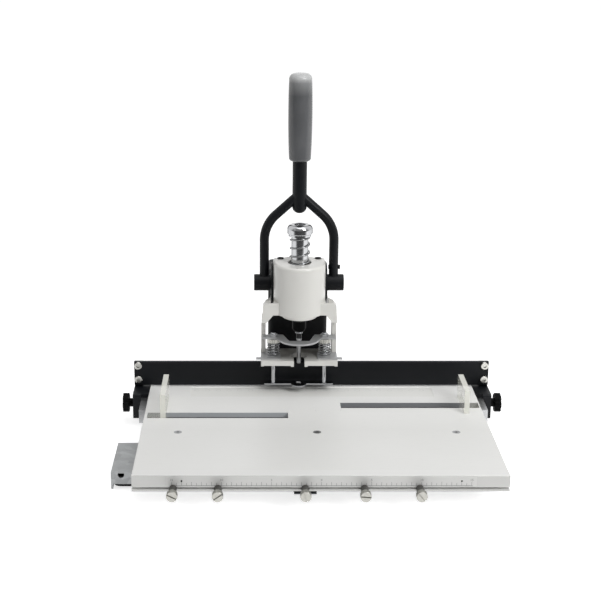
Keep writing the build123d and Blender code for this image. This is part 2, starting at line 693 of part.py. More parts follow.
# Quill with its rack
quill = post(0, 0, QUILL_Z0, QUILL_Z1, QUILL_R)
pitch = math.pi * MODULE
pitch_r = MODULE * TEETH * HALF_share
line_y = PIVOT_Y - pitch_r
lean = math.tan(math.radians(PRESSURE))
tip_y = line_y + MODULE
root_y = line_y - MODULE * DEDENDUM_share
half = (pitch + BACKLASH) * HALF_share * HALF_share
rack_z0 = PIVOT_Z + RACK_LOW * pitch - pitch * HALF_share
rack_z1 = PIVOT_Z + RACK_HIGH * pitch + pitch * HALF_share
quill -= block(-QUILL_R, QUILL_R, tip_y, QUILL_R + GAP, rack_z0, rack_z1)
for k in range(RACK_LOW, RACK_HIGH + 1):
    z = PIVOT_Z + k * pitch
    wide = half + MODULE * lean
    narrow = half - MODULE * DEDENDUM_share * lean
    space = [
        (root_y, z - narrow),
        (root_y, z + narrow),
        (tip_y + GAP, z + wide + GAP * lean),
        (tip_y + GAP, z - wide - GAP * lean),
    ]
    quill -= side_view(space, -QUILL_R, QUILL_R)
quill -= post(0, 0, QUILL_Z0, QUILL_Z1, CHIP_R)
button = post(0, 0, BUTTON_STEP_Z, BUTTON_Z1, BUTTON_R)
button = fillet(button.edges().group_by(Axis.Z)[-1], BUTTON_ROUND)
button = fillet(button.edges().group_by(Axis.Z)[0], BUTTON_LOW_ROUND)
button += post(0, 0, BUTTON_Z0, BUTTON_STEP_Z, SEAT_R - BUTTON_CLEAR)
button -= post(0, 0, BUTTON_Z0, QUILL_Z1, QUILL_R)
button -= post(0, 0, QUILL_Z1, BUTTON_Z1, CHIP_R)
button -= post(0, 0, BUTTON_Z1 - BUTTON_DISH, BUTTON_Z1, BUTTON_DISH_R)
chuck = turned([
    (0, CHUCK_Z0),
    (CHUCK_NOSE_R, CHUCK_Z0),
    (CHUCK_R, CHUCK_NOSE_Z),
    (CHUCK_R, QUILL_Z0),
    (0, QUILL_Z0),
])
chuck -= post(0, 0, CHUCK_Z0, CHUCK_SEAT_Z, DRILL_SHANK_R)
chuck -= post(0, 0, CHUCK_SEAT_Z, QUILL_Z0, CHIP_R)
ring = post(0, 0, RING_Z0, CHUCK_Z0, RING_R) - post(0, 0, RING_Z0, CHUCK_Z0, DRILL_SHANK_R)
drill = turned([
    (DRILL_CORE_R, CHUCK_SEAT_Z),
    (DRILL_SHANK_R, CHUCK_SEAT_Z),
    (DRILL_SHANK_R, DRILL_STEP_Z),
    (DRILL_R, DRILL_STEP_Z - SHEET),
    (DRILL_R, DRILL_TIP_Z + DRILL_LIP),
    (DRILL_CORE_R + FIT, DRILL_TIP_Z),
    (DRILL_CORE_R, DRILL_TIP_Z),
])
spring = coil(0, 0, SEAT_Z, BUTTON_Z0, SPRING_R, SPRING_WIRE, SPRING_TURNS)

# Presser foot
foot = soft(block(-FOOT_HX, FOOT_HX, FOOT_Y0, FOOT_Y1, ROD_Z0, ROD_Z0 + FOOT_T), Axis.Z, SHEET)
foot += post(0, FOOT_NOSE_Y, ROD_Z0, ROD_Z0 + FOOT_T, FOOT_NOSE_R)
foot -= post(0, 0, ROD_Z0, ROD_Z0 + FOOT_T, FOOT_HOLE_R)
outline = [
    (-BRIDGE_BOW_X, BRIDGE_BOW_Y0),
    (-BRIDGE_STEP_X, BRIDGE_FRONT),
    (-BRIDGE_HX, BRIDGE_FRONT),
    (-BRIDGE_HX, BRIDGE_REAR),
    (-BRIDGE_IN_X, BRIDGE_REAR),
    (-BRIDGE_FLAT_X, BRIDGE_IN_BOW),
    (BRIDGE_FLAT_X, BRIDGE_IN_BOW),
    (BRIDGE_IN_X, BRIDGE_REAR),
    (BRIDGE_HX, BRIDGE_REAR),
    (BRIDGE_HX, BRIDGE_FRONT),
    (BRIDGE_STEP_X, BRIDGE_FRONT),
    (BRIDGE_BOW_X, BRIDGE_BOW_Y0),
]
outer = [Line(start, end) for start, end in zip(outline, outline[1:])]
outer.append(ThreePointArc(outline[-1], (0, BRIDGE_BOW_Y), outline[0]))
bridge = Pos(0, 0, BRIDGE_Z0) * extrude(make_face(Wire(outer)), BRIDGE_Z1 - BRIDGE_Z0)
rods = {}
foot_springs = {}
knurls = None
hexes = None
for side, name in ((-1, "left"), (1, "right")):
    rx = side * ROD_X
    rods[name] = post(rx, 0, ROD_Z0, ROD_Z1, ROD_R)
    foot -= post(rx, 0, ROD_Z0, ROD_Z0 + FOOT_T, ROD_R)
    bridge -= post(rx, 0, BRIDGE_Z0, BRIDGE_Z1, ROD_R)
    knurl = post(rx, 0, KNURL_Z0, BRIDGE_Z0, KNURL_R)
    for i in range(KNURL_FLUTES):
        a = 2 * math.pi * i / KNURL_FLUTES
        fx = rx + KNURL_R * math.cos(a)
        fy = KNURL_R * math.sin(a)
        knurl -= post(fx, fy, KNURL_Z0, BRIDGE_Z0, KNURL_FLUTE_R)
    knurl -= post(rx, 0, KNURL_Z0, BRIDGE_Z0, ROD_R)
    knurls = knurl if knurls is None else knurls + knurl
    hexa = Pos(rx, 0, BRIDGE_Z1) * extrude(RegularPolygon(HEX_NUT_R, 6), HEX_NUT_T)
    hexa -= post(rx, 0, BRIDGE_Z1, BRIDGE_Z1 + HEX_NUT_T, ROD_R)
    hexes = hexa if hexes is None else hexes + hexa
    seat = GUIDE_Z1 + CLIP_T
    foot_springs[name] = coil(rx, 0, seat, KNURL_Z0, FOOT_SPRING_R, FOOT_SPRING_WIRE, FOOT_SPRING_TURNS)

# Lever
bow_turn = math.radians(BOW_TURN)
bow_half = math.radians(BOW_TURN * HALF_share)
apex_z = BOW_Z + LEG_X / math.sin(bow_turn)
bow = None
for side in (-1, 1):
    bow_bend = (side * LEG_X * math.cos(bow_turn), PIVOT_Y, BOW_Z + LEG_X * math.sin(bow_turn))
    bow_along = (side * LEG_X * math.cos(bow_half), PIVOT_Y, BOW_Z + LEG_X * math.sin(bow_half))
    bow_foot = (side * LEG_X, PIVOT_Y, PIVOT_Z)
    bow_knee = (side * LEG_X, PIVOT_Y, BOW_Z)
    bow_top = Line(bow_bend, (0, PIVOT_Y, apex_z))
    bow_arm = Wire([Line(bow_foot, bow_knee), ThreePointArc(bow_knee, bow_along, bow_bend), bow_top])
    bow_tube = sweep(Pos(*bow_foot) * Circle(LEG_R), path=bow_arm)
    bow = bow_tube if bow is None else bow + bow_tube
lever_rod = post(0, PIVOT_Y, ROD_LEVER_Z0, ROD_LEVER_Z1, ROD_LEVER_R)
bow -= lever_rod
lever_rod = fillet(lever_rod.edges().group_by(Axis.Z)[0], ROD_END_FILLET)
hubs = {}
for side, name in ((-1, "left"), (1, "right")):
    hub = bar_x(PIVOT_Y, PIVOT_Z, side * HUB_X0, side * HUB_X1, HUB_R)
    bow -= hub
    hub = chamfer(hub.edges().filter_by(GeomType.CIRCLE), EDGE)
    hub -= bar_x(PIVOT_Y, PIVOT_Z, side * HUB_X0, side * HUB_X1, SHAFT_R)
    hubs[name] = hub
stop_pin = bar_x(PIVOT_Y, STOP_PIN_Z, STOP_PIN_X0, STOP_PIN_X1, STOP_PIN_R)
bow -= stop_pin
shaft = bar_x(PIVOT_Y, PIVOT_Z, -SHAFT_END, SHAFT_END, SHAFT_R)
grip_edge = [
    Line((0, GRIP_Z0), (GRIP_R0, GRIP_Z0)),
    ThreePointArc((GRIP_R0, GRIP_Z0), (GRIP_R1, GRIP_MID_Z), (GRIP_R2, GRIP_HIGH_Z)),
    Line((GRIP_R2, GRIP_HIGH_Z), (0, GRIP_HIGH_Z)),
    Line((0, GRIP_HIGH_Z), (0, GRIP_Z0)),
]
grip = revolve(Plane.XZ * make_face(Wire(grip_edge)), Axis.Z)
grip = fillet(grip.edges().group_by(Axis.Z)[0], GRIP_LOW_EDGE)
dome = post(0, 0, GRIP_HIGH_Z, GRIP_Z1, GRIP_R2)
grip += fillet(dome.edges().group_by(Axis.Z)[-1], GRIP_DOME * DOME_share)
grip = Pos(0, PIVOT_Y, 0) * grip - post(0, PIVOT_Y, GRIP_Z0, ROD_LEVER_Z1, ROD_LEVER_R)
base_r = pitch_r * math.cos(math.radians(PRESSURE))
tip_r = pitch_r + MODULE
root_r = pitch_r - MODULE * DEDENDUM_share
inv = math.tan(math.radians(PRESSURE)) - math.radians(PRESSURE)
tooth = math.pi / (2 * TEETH) - BACKLASH * HALF_share / pitch_r
gear_pts = []
for n in range(TEETH):
    centre = math.pi + 2 * math.pi * n / TEETH
    flank = [(root_r, tooth + inv)]
    for s in range(FLANK_STEPS + 1):
        r = base_r + (tip_r - base_r) * s / FLANK_STEPS
        roll = math.acos(min(1.0, base_r / r))
        flank.append((r, tooth + inv - (math.tan(roll) - roll)))
    for r, a in flank:
        gear_pts.append((PIVOT_Y + r * math.cos(centre - a), PIVOT_Z + r * math.sin(centre - a)))
    for r, a in reversed(flank):
        gear_pts.append((PIVOT_Y + r * math.cos(centre + a), PIVOT_Z + r * math.sin(centre + a)))
pinion = side_view(gear_pts, -PINION_HX, PINION_HX)
pinion -= bar_x(PIVOT_Y, PIVOT_Z, -PINION_HX, PINION_HX, SHAFT_R)

# Table
under = TOP - BOARD_T
board = block(STAGE - TAB_HX, STAGE + TAB_HX, RAIL_Y1, BOARD_Y1, under, TOP)
rear_edges = board.edges().filter_by(Axis.Z).group_by(Axis.Y)[-1]
board = fillet(rear_edges, BOARD_R)
board = chamfer(board.edges().filter_by(Axis.Y).group_by(Axis.Z)[-1], EDGE)
slot_bars = {}
for side, name, sy in ((-1, "left", SLOT_Y_LEFT), (1, "right", SLOT_Y_RIGHT)):
    s_in = STAGE + SLOT_MID + side * SLOT_X0
    s_out = STAGE + SLOT_MID + side * SLOT_X1
    y0 = sy - SLOT_W * HALF_share
    y1 = sy + SLOT_W * HALF_share
    board -= block(s_in, s_out, y0, y1, TOP - SLOT_DEEP, TOP)
    slot_bars[name] = block(s_in, s_out, y0, y1, TOP - SLOT_DEEP, TOP - SLOT_DEEP + SLOT_BAR_T)
strip_top = TOP - STRIP_DROP
strip = block(STAGE - STRIP_HX, STAGE + STRIP_HX, STRIP_Y0, STRIP_Y1, strip_top - STRIP_T, strip_top)
board -= block(STAGE - STRIP_HX, STAGE + STRIP_HX, STRIP_Y0, STRIP_Y1, strip_top - STRIP_T, TOP)
for dx in DOT_XS:
    board -= post(STAGE + dx, DOT_Y, TOP - DOT_DEEP, TOP, DOT_R)
run0 = STAGE - RUN_HX
run1 = STAGE + RUN_HX
runner_rear = block(run0, run1, HOUSE_Y1 - RUN_FLANGE, HOUSE_Y1 + RUN_CLEAR, RUN_FLANGE_Z, under)
leg0 = HOUSE_Y1 + RUN_CLEAR
runner_rear += block(run0, run1, leg0, leg0 + RUN_LEG, RUN_Z0, under)
leg1 = HOUSE_Y0 - RUN_CLEAR
runner_front = block(run0, run1, leg1, HOUSE_Y0 + RUN_FLANGE, RUN_FLANGE_Z, under)
runner_front += block(run0, run1, leg1 - RUN_LEG, leg1, RUN_Z0, under)
table_screws = None
for sx in T_SCREW_XS:
    tx = STAGE + sx
    cone = Cone(T_SCREW_R, T_SCREW_HEAD_R, T_SCREW_CONE)
    cone = Pos(tx, T_SCREW_Y, TOP - T_SCREW_CONE * HALF_share) * cone
    screw = cone + post(tx, T_SCREW_Y, TOP - T_SCREW_DOWN, TOP - T_SCREW_CONE, T_SCREW_R)
    board -= screw
    runner_rear -= screw
    cross = Box(T_SCREW_HEAD_R, T_SCREW_SLOT, T_SCREW_SLOT * 2)
    cross += Box(T_SCREW_SLOT, T_SCREW_HEAD_R, T_SCREW_SLOT * 2)
    screw -= Pos(tx, T_SCREW_Y, TOP) * cross
    table_screws = screw if table_screws is None else table_screws + screw
rail = block(STAGE - TAB_HX, STAGE + TAB_HX, RAIL_Y0, RAIL_Y1, RAIL_Z0, TOP)
rail = chamfer(rail.edges().filter_by(Axis.X).sort_by(Axis.Y)[0:2], EDGE)
x_lo = STAGE - TAB_HX
x_hi = STAGE + TAB_HX
rail -= block(x_lo, x_hi, RAIL_Y0, CHAN_Y0, AXIS_Z - MOUTH_H, AXIS_Z + MOUTH_H)
rail -= block(x_lo, x_hi, CHAN_Y0, CHAN_Y1, AXIS_Z - MOUTH_H, CHAN_TOP)
rule_x = STAGE + RULER_MID
ruler = block(rule_x - RULER_HX, rule_x + RULER_HX, RAIL_Y0, RAIL_Y0 + RULER_T, RULER_Z0, RULER_Z1)
rail -= ruler
ruler_pins = None
for side in (-1, 1):
    pin = bar_y(rule_x + side * PIN_X, PIN_Z, RAIL_Y0 - PIN_PROUD, RAIL_Y0 + PIN_DEEP, PIN_R)
    ruler -= pin
    rail -= pin
    ruler_pins = pin if ruler_pins is None else ruler_pins + pin
thumbs = []
for sx, turn in zip(STOP_XS, STOP_SLOTS):
    tx = STAGE + sx
    t0 = AXIS_Z - MOUTH_H + GAP
    tee = block(tx - NUT_HX, tx + NUT_HX, CHAN_Y0 + GAP, CHAN_Y1 - GAP, t0, CHAN_TOP - GAP)
    thumbs.append(thumb(tx, turn) + tee)

# Side guide strips and the back gauge
guide_strips = {}
strip_screws = None
blocks = {}
knobs = {}
clamp_nuts = {}
gauge = block(STAGE - BAR_HX, STAGE + BAR_HX, BAR_Y0, BAR_Y1, BAR_Z0, BAR_Z1)
gauge = chamfer(gauge.edges().filter_by(Axis.X), EDGE)
gauge_screws = None
for side, name in ((-1, "left"), (1, "right")):
    g_in = STAGE + side * TAB_HX
    g_out = STAGE + side * GSTRIP_X1
    c_in = STAGE + side * GCHAN_X0
    c_out = STAGE + side * GCHAN_X1
    bar = block(g_in, g_out, GSTRIP_Y0, GSTRIP_Y1, GSTRIP_Z0, GSTRIP_Z1)
    bar -= block(c_in, c_out, GSLOT_Y0, GSLOT_Y1, KNOB_Z - GCHAN_H, KNOB_Z + GCHAN_H)
    bar -= block(c_out, g_out, GSLOT_Y0, GSLOT_Y1, KNOB_Z - GSLOT_H, KNOB_Z + GSLOT_H)
    for gy in GSCREW_YS:
        s_head = STAGE + side * (GSTRIP_X1 - GSCREW_HEAD_T)
        screw = bar_x(gy, GSCREW_Z, STAGE + side * GSCREW_X0, s_head, GSCREW_R)
        screw += bar_x(gy, GSCREW_Z, s_head, g_out, GSCREW_HEAD_R)
        bar -= screw
        board -= screw
        screw -= bar_x(gy, GSCREW_Z, STAGE + side * (GSTRIP_X1 - GSCREW_SOCKET), g_out, GSCREW_R)
        strip_screws = screw if strip_screws is None else strip_screws + screw
    guide_strips[name] = bar
    b_in = STAGE + side * BLOCK_X0
    b_out = STAGE + side * BAR_HX
    lump = block(b_in, b_out, BLOCK_Y0, BLOCK_Y1, BLOCK_Z0, TOP)
    lump = fillet(lump.edges().filter_by(Axis.X).group_by(Axis.Y)[0], BLOCK_R)
    lump += block(b_in, b_out, BAR_Y1, BLOCK_Y1, TOP - BLOCK_R, BAR_Z1 - BLOCK_DROP)
    over = STAGE + side * (TAB_HX + BLOCK_LIP)
    lump += block(over, b_in, BLOCK_Y0 + BLOCK_R, BLOCK_Y1, GSTRIP_Z1 + GAP, TOP)
    lump -= bar_x(KNOB_Y, KNOB_Z, b_in, b_out, STUD_R + FIT)
    for bz in BSCREW_ZS:
        bx = STAGE + side * BSCREW_X
        shank = bar_y(bx, bz, BAR_Y0, BSCREW_Y1, BSCREW_R)
        gauge -= shank
        lump -= shank
        cap = bar_y(bx, bz, BAR_Y0 - BSCREW_HEAD_T, BAR_Y0, BSCREW_HEAD_R)
        rim = cap.edges().filter_by(GeomType.CIRCLE).sort_by(Axis.Y)[0]
        cap = chamfer(rim, EDGE)
        near = BAR_Y0 - BSCREW_HEAD_T
        cap -= bar_y(bx, bz, near, near + BSCREW_HEX_D, BSCREW_HEX_R)
        screw = shank + cap
        gauge_screws = screw if gauge_screws is None else gauge_screws + screw
    blocks[name] = lump
    k0 = STAGE + side * KNOB_X0
    k1 = STAGE + side * KNOB_X1
    knob = bar_x(KNOB_Y, KNOB_Z, k0, k1, KNOB_R)
    for i in range(KNOB_LOBES):
        a = 2 * math.pi * i / KNOB_LOBES
        ky = KNOB_Y + (KNOB_R + KNOB_DIP) * math.cos(a)
        kz = KNOB_Z + (KNOB_R + KNOB_DIP) * math.sin(a)
        knob -= bar_x(ky, kz, k0, k1, KNOB_LOBE_R)
    knob += bar_x(KNOB_Y, KNOB_Z, STAGE + side * KNOB_NECK_X, k0, KNOB_NECK_R)
    knob += bar_x(KNOB_Y, KNOB_Z, STAGE + side * STUD_X0, k0, STUD_R)
    knobs[name] = knob
    n0 = STAGE + side * (GCHAN_X0 + GAP)
    n1 = STAGE + side * (GCHAN_X1 - GAP)
    nut = block(n0, n1, KNOB_Y - CNUT_Y, KNOB_Y + CNUT_Y, KNOB_Z - CNUT_HALF, KNOB_Z + CNUT_HALF)
    clamp_nuts[name] = nut - bar_x(KNOB_Y, KNOB_Z, n0, n1, STUD_R + FIT)

# Side stops
side_stops = {}
stop_rows = (
    (-1, "left", STOP_LEFT_X, STOP_LEFT_Y0, SLOT_Y_LEFT),
    (1, "right", STOP_RIGHT_X, STOP_RIGHT_Y0, SLOT_Y_RIGHT),
)
for side, name, sx, sy0, sy in stop_rows:
    s0 = STAGE + sx - STOP_T * HALF_share
    s1 = STAGE + sx + STOP_T * HALF_share
    plate = block(s0, s1, sy0, STOP_Y1, TOP + STOP_LIFT, TOP + STOP_H)
    inner = s1 if side < 0 else s0
    y0 = sy - SLOT_W * HALF_share + GAP
    y1 = sy + SLOT_W * HALF_share - GAP
    z0 = TOP - SLOT_DEEP + SLOT_BAR_T + FIT
    tongue = block(inner, STAGE + SLOT_MID + side * TONGUE_X1, y0, y1, z0, TOP - STOP_LIFT)
    tongue += block(s0, s1, y0, y1, z0, TOP + STOP_LIFT + FIT)
    side_stops[name] = plate + tongue

save(base, "base_plate")
save(sole, "sole_pad")
save(pads, "front_pads")
save(house, "base_housing")
save(screws + catch_screws, "base_screws")
save(column, "column")
save(column_bolts, "column_bolts")
save(head, "head_casting")
save(head_bolts, "head_bolts")
save(top_screws, "top_screws")
save(bush, "quill_bush")
save(catch, "index_catch")
save(quill, "quill")
save(button, "spring_button")
save(chuck, "drill_chuck")
save(ring, "chuck_ring")
save(drill, "hollow_drill")
save(spring, "return_spring")
save(foot, "presser_plate")
save(bridge, "presser_bridge")
save(knurls, "knurled_nuts")
save(hexes, "rod_nuts")
save(bow, "lever_bow")
save(lever_rod, "lever_rod")
save(grip, "lever_grip")
save(stop_pin, "lever_pin")
save(shaft, "pinion_shaft")
save(pinion, "drive_pinion")
save(board, "table_board")
save(strip, "cutting_strip")
save(runner_front, "runner_front")
save(runner_rear, "runner_rear")
save(table_screws, "table_screws")
save(rail, "front_rail")
save(ruler, "ruler")
save(ruler_pins, "ruler_pins")
save(strip_screws, "guide_strip_screws")
save(gauge, "gauge_bar")
save(gauge_screws, "gauge_screws")
for name in ("left", "right"):
    save(covers[name], "bearing_cover_" + name)
    save(knobs[name], "clamp_knob_" + name)
    save(side_stops[name], "side_stop_" + name)
    save(blocks[name], "gauge_block_" + name)
save(clips["left"] + clips["right"], "friction_clips")
save(rods["left"] + rods["right"], "presser_rods")
save(Compound([foot_springs["left"], foot_springs["right"]]), "presser_springs")
save(hubs["left"] + hubs["right"], "lever_hubs")
save(slot_bars["left"] + slot_bars["right"], "slot_rails")
save(guide_strips["left"] + guide_strips["right"], "guide_strips")
save(clamp_nuts["left"] + clamp_nuts["right"], "clamp_nuts")
for i in range(len(STOP_XS)):
    save(thumbs[i], "index_stop_" + str(i + 1))
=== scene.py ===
import math

import bmesh
import bpy
from mathutils import Matrix, Vector


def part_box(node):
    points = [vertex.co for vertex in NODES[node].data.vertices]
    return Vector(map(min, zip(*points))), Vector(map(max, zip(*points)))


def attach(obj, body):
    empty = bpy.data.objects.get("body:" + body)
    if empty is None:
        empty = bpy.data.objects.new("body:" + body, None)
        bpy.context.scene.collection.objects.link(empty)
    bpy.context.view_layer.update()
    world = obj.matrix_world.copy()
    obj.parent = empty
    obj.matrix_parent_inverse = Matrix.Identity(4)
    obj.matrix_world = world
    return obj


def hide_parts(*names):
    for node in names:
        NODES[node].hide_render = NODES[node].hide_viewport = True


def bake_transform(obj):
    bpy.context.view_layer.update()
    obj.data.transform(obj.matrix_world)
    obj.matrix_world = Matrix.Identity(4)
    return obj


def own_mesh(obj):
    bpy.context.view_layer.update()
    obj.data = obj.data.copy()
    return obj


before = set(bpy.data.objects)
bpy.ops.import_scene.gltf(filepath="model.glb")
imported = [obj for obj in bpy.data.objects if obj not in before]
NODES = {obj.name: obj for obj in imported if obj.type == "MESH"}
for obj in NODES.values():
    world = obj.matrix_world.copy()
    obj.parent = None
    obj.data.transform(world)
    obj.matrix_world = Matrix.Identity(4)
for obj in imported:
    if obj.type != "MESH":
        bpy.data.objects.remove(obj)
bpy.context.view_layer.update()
MM = 0.001


# Shader values as Python expressions

class Value:
    """A shader socket; arithmetic on it adds Math nodes to its tree."""

    def __init__(self, shading, socket):
        self.shading = shading
        self.socket = socket

    def maths(self, operation, *values):
        return self.shading.node("ShaderNodeMath", {"operation": operation}, dict(enumerate(values)))

    def __add__(self, other):
        return self.maths("ADD", self, other)

    def __radd__(self, other):
        return self.maths("ADD", other, self)

    def __sub__(self, other):
        return self.maths("SUBTRACT", self, other)

    def __rsub__(self, other):
        return self.maths("SUBTRACT", other, self)

    def __mul__(self, other):
        return self.maths("MULTIPLY", self, other)

    def __rmul__(self, other):
        return self.maths("MULTIPLY", other, self)

    def __truediv__(self, other):
        return self.maths("DIVIDE", self, other)

    def __pow__(self, other):
        return self.maths("POWER", self, other)

    def __lt__(self, other):
        return self.maths("LESS_THAN", self, other)

    def __gt__(self, other):
        return self.maths("GREATER_THAN", self, other)

    def __abs__(self):
        return self.maths("ABSOLUTE", self)

    def fraction(self):
        return self.maths("FRACT", self)

    def or_more(self, other):
        return self.maths("MAXIMUM", self, other)


class Shading:
    """Adds nodes to the tree of one material or world."""

    def __init__(self, tree):
        self.tree = tree

    def node(self, kind, settings=None, inputs=None, out=0):
        made = self.tree.nodes.new(kind)
        for key, value in (settings or {}).items():
            setattr(made, key, value)
        for key, value in (inputs or {}).items():
            if isinstance(value, Value):
                self.tree.links.new(value.socket, made.inputs[key])
            else:
                made.inputs[key].default_value = value
        return Value(self, made.outputs[out])

    def ray(self, kind):
        return self.node("ShaderNodeLightPath", out="Is %s Ray" % kind)

    def background_rays(self):
        """1 for rays from the camera, from gloss and through clear pieces."""
        total = self.ray("Camera") + self.ray("Glossy") + self.ray("Transmission")
        return self.node("ShaderNodeClamp", None, {0: total})


class Finish(Shading):
    """One procedural material around a Principled shader, read in Object coordinates."""

    def __init__(self, name, **constants):
        self.material = bpy.data.materials.new(name)
        self.material.use_nodes = True
        super().__init__(self.material.node_tree)
        self.shader = self.tree.nodes["Principled BSDF"]
        self.place = self.node("ShaderNodeTexCoord", out="Object")
        for socket, value in constants.items():
            self.shader.inputs[socket.replace("_", " ")].default_value = value

    def axis(self, letter):
        return self.node("ShaderNodeSeparateXYZ", None, {0: self.place}, letter)

    def noise(self, scale, detail, stretch=None):
        at = self.place
        if stretch:
            at = self.node("ShaderNodeMapping", None, {"Vector": at, "Scale": stretch})
        return self.node("ShaderNodeTexNoise", None, {"Vector": at, "Scale": scale, "Detail": detail})

    def cells(self, scale, out="Distance"):
        return self.node("ShaderNodeTexVoronoi", None, {"Vector": self.place, "Scale": scale}, out)

    def ramp(self, value, *stops):
        """Grey levels at places from 0 to 1, each stop a place and a level."""
        shade = self.node("ShaderNodeValToRGB", None, {0: value})
        elements = shade.socket.node.color_ramp.elements
        while len(elements) < len(stops):
            elements.new(0.5)
        for element, (at, grey) in zip(elements, stops):
            element.position = at
            element.color = (grey, grey, grey, 1)
        return shade

    def rising(self, value, start, end):
        return self.ramp(value, (start, 0.0), (end, 1.0))

    def between(self, mask, first, second):
        """Mixes two colours, each given as three numbers or as a Value."""
        def four(colour):
            return colour if isinstance(colour, Value) else (*colour, 1)
        inputs = {0: mask, 6: four(first), 7: four(second)}
        return self.node("ShaderNodeMix", {"data_type": "RGBA"}, inputs, 2)

    def put(self, **values):
        for socket, value in values.items():
            self.tree.links.new(value.socket, self.shader.inputs[socket.replace("_", " ")])

    def bump(self, height, depth_mm):
        inputs = {"Strength": 1.0, "Distance": depth_mm * MM, "Height": height}
        self.put(Normal=self.node("ShaderNodeBump", None, inputs))


def varied(middle, value, spread):
    """The middle at 0.5, half the spread to either side as the value runs from 0 to 1."""
    return middle + (value - 0.5) * spread


def srgb(*levels):
    """Linear colour from 0-255 screen levels, by the sRGB curve."""
    out = []
    for level in levels:
        v = level / 255
        out.append(v / 12.92 if v <= 0.04045 else ((v + 0.055) / 1.055) ** 2.4)
    return tuple(out)


# Finishes

def enamel(name, light, dark, rough, peel, coat, gloss, painted_shade=None):
    """Sprayed paint: orange peel, slow tone changes and a few dust specks."""
    f = Finish(name, Coat_Roughness=0.12, Specular_IOR_Level=gloss)
    tone = f.noise(scale=14.0, detail=3.0)
    speck = f.rising(f.noise(scale=1300.0, detail=1.0), 0.70, 0.78)
    colour = f.between(speck * 0.25, f.between(tone, light, dark), dark)
    # painted shade: darkens the drill guide's top where the head's arch shades it
    if painted_shade:
        colour = f.between(painted_shade(f), colour, srgb(70, 68, 64))
    f.put(Base_Color=colour)
    f.put(Roughness=varied(rough, f.noise(scale=60.0, detail=4.0), 0.16))
    f.put(Coat_Weight=coat * (0.6 + 0.4 * tone))
    f.bump(f.noise(scale=520.0, detail=2.0), peel)
    return f.material


# Reach of the painted shade on the drill guide's top, under the head's arch
GUIDE_TOP = 80.7 * MM
SHADE_UNDER_ARCH_FRONT = 22.5 * MM
SHADE_UNDER_ARCH_FADE = 30 * MM


def guide_painted_shade(f):
    """Painted shade on the drill guide's top under the head's arch, darkest at its back."""
    spread = f.rising((f.axis("Y") + SHADE_UNDER_ARCH_FRONT) / SHADE_UNDER_ARCH_FADE, 0.15, 0.75)
    return (f.axis("Z") < GUIDE_TOP) * spread * (0.6 + f.noise(scale=60.0, detail=4.0) * 0.4)


TABLE_MIDDLE_X = 15.3 * MM
SLOTS_HALF_X = 189 * MM
LEFT_SLOT_Y = -79 * MM
RIGHT_SLOT_Y = -49 * MM
SLOT_HALF_W = 8.1 * MM
SLOT_RIM_Z = 37.9 * MM
BACK_LIGHT_FROM = 120 * MM
BACK_LIGHT_FADE = 100 * MM


def laminate():
    """White melamine board with fine scuffs; painted light makes it lighter towards the back, where the bar
    and head shade it, and painted shade turns its slot walls grey, darker on the right.
    """
    f = Finish("white laminate")
    x, y = f.axis("X"), f.axis("Y")
    # painted shade: the slot walls below the rim are painted grey, darker on the right
    slot_wall_shade_mask = (abs(y - LEFT_SLOT_Y) < SLOT_HALF_W) + (abs(y - RIGHT_SLOT_Y) < SLOT_HALF_W)
    slot_wall_shade_mask = slot_wall_shade_mask * (f.axis("Z") < SLOT_RIM_Z) * (abs(x - TABLE_MIDDLE_X) < SLOTS_HALF_X)
    slot_painted_shade = f.between(x > TABLE_MIDDLE_X, srgb(196, 200, 203), srgb(146, 148, 151))
    # painted light: the board turns lighter towards the back, making up for the shade of the bar and head
    painted_light_back = f.rising((y + BACK_LIGHT_FROM) / BACK_LIGHT_FADE, 0.0, 1.0)
    tone = f.noise(scale=9.0, detail=2.0)
    scuff = f.rising(f.noise(scale=90.0, detail=5.0, stretch=(1.0, 14.0, 6.0)), 0.60, 0.72)
    colour = f.between(tone, srgb(233, 233, 231), srgb(226, 226, 223))
    colour = f.between(painted_light_back, colour, srgb(250, 250, 248))
    colour = f.between(scuff * 0.18, colour, srgb(205, 205, 202))
    f.put(Base_Color=f.between(slot_wall_shade_mask, colour, slot_painted_shade))
    f.put(Roughness=varied(0.36, tone, 0.1) + scuff * 0.12)
    f.bump(f.noise(scale=700.0, detail=2.0), 0.012)
    return f.material


HOLE_PITCH = 12.5 * MM
HOLE_MARK_R = 2.6 * MM
HOLE_MARK_HALF_W = 0.18 * MM


def cutting_plastic():
    """Pale strip under the drill, with faint ring marks along the hole line."""
    f = Finish("cutting strip plastic")
    dx = ((f.axis("X") / HOLE_PITCH).fraction() - 0.5) * HOLE_PITCH
    y = f.axis("Y")
    reach = (dx * dx + y * y) ** 0.5
    mark = (abs(reach - HOLE_MARK_R) < HOLE_MARK_HALF_W) * f.noise(scale=70.0, detail=2.0)
    tone = f.noise(scale=30.0, detail=3.0)
    colour = f.between(tone, srgb(247, 247, 244), srgb(240, 240, 236))
    f.put(Base_Color=f.between(mark * 0.5, colour, srgb(150, 150, 146)))
    f.put(Roughness=varied(0.5, tone, 0.15))
    f.bump(1 - mark, 0.03)
    return f.material


def matt_black(name):
    """Black with a fine cell grain, for the moulded runners and knobs and the oxide on steel."""
    f = Finish(name, Specular_IOR_Level=0.06)
    tone = f.noise(scale=40.0, detail=3.0)
    f.put(Base_Color=f.between(tone, srgb(5, 5, 6), srgb(10, 10, 11)))
    f.put(Roughness=varied(0.46, tone, 0.2))
    f.bump(f.cells(scale=900.0), 0.03)
    return f.material


TOP_HIGHLIGHT_H = 24 * MM


